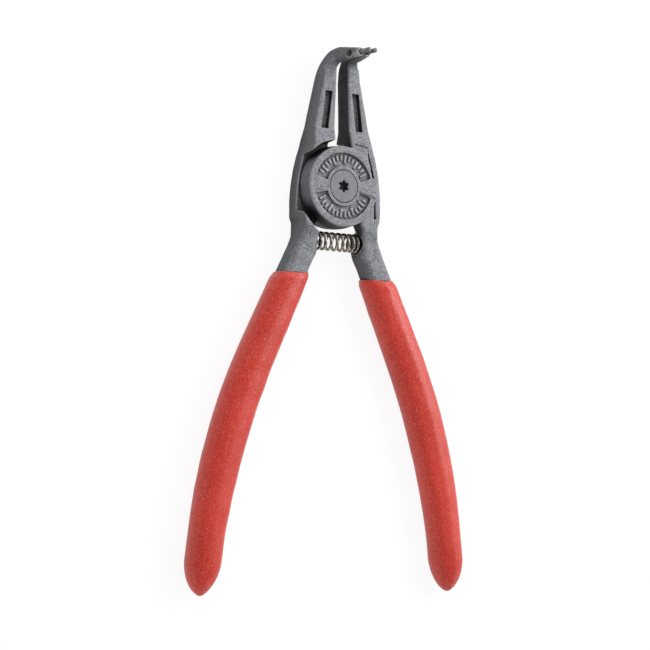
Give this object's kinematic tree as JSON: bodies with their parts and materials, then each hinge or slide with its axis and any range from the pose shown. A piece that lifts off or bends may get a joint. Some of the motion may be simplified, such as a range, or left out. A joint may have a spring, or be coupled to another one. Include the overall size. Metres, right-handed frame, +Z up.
{
  "type": "circlip pliers",
  "caption": "Hand pliers for external retaining rings: lapped forged levers, noses bent at right angles with round pins, a coil return spring and dipped sleeves.",
  "frame": {"origin": "on the pivot axis, level with the back of the joint (the end face of the pivot screw)", "axes": "+X across the tool to the right lever, +Y from the handles to the noses, +Z up through the pivot, the way the bent noses point"},
  "size_m": [0.096, 0.1622, 0.0237],
  "materials": {
    "forged_steel": "shot-blasted grey phosphate",
    "screw_steel": "turned, oiled black",
    "spring_steel": "drawn wire",
    "pin_steel": "hardened, satin",
    "dipped_vinyl": "semi-gloss dip"
  },
  "bodies": {
    "right_half": {"right_lever": "forged_steel", "right_grip": "dipped_vinyl", "right_tip_pin": "pin_steel", "return_spring": "spring_steel"},
    "left_half": {"left_lever": "forged_steel", "left_grip": "dipped_vinyl", "left_tip_pin": "pin_steel", "pivot_screw": "screw_steel"}
  },
  "joints": [
    {"name": "lever_pivot", "type": "hinge", "parent": "right_half", "child": "left_half", "pos_m": [0, 0, 0.0048], "axis": [0, 0, 1], "range_deg": [0, 24], "stiffness_Nm_per_rad": 0.4, "springref_deg": -20.05, "deforming": ["return_spring"]}
  ]
}
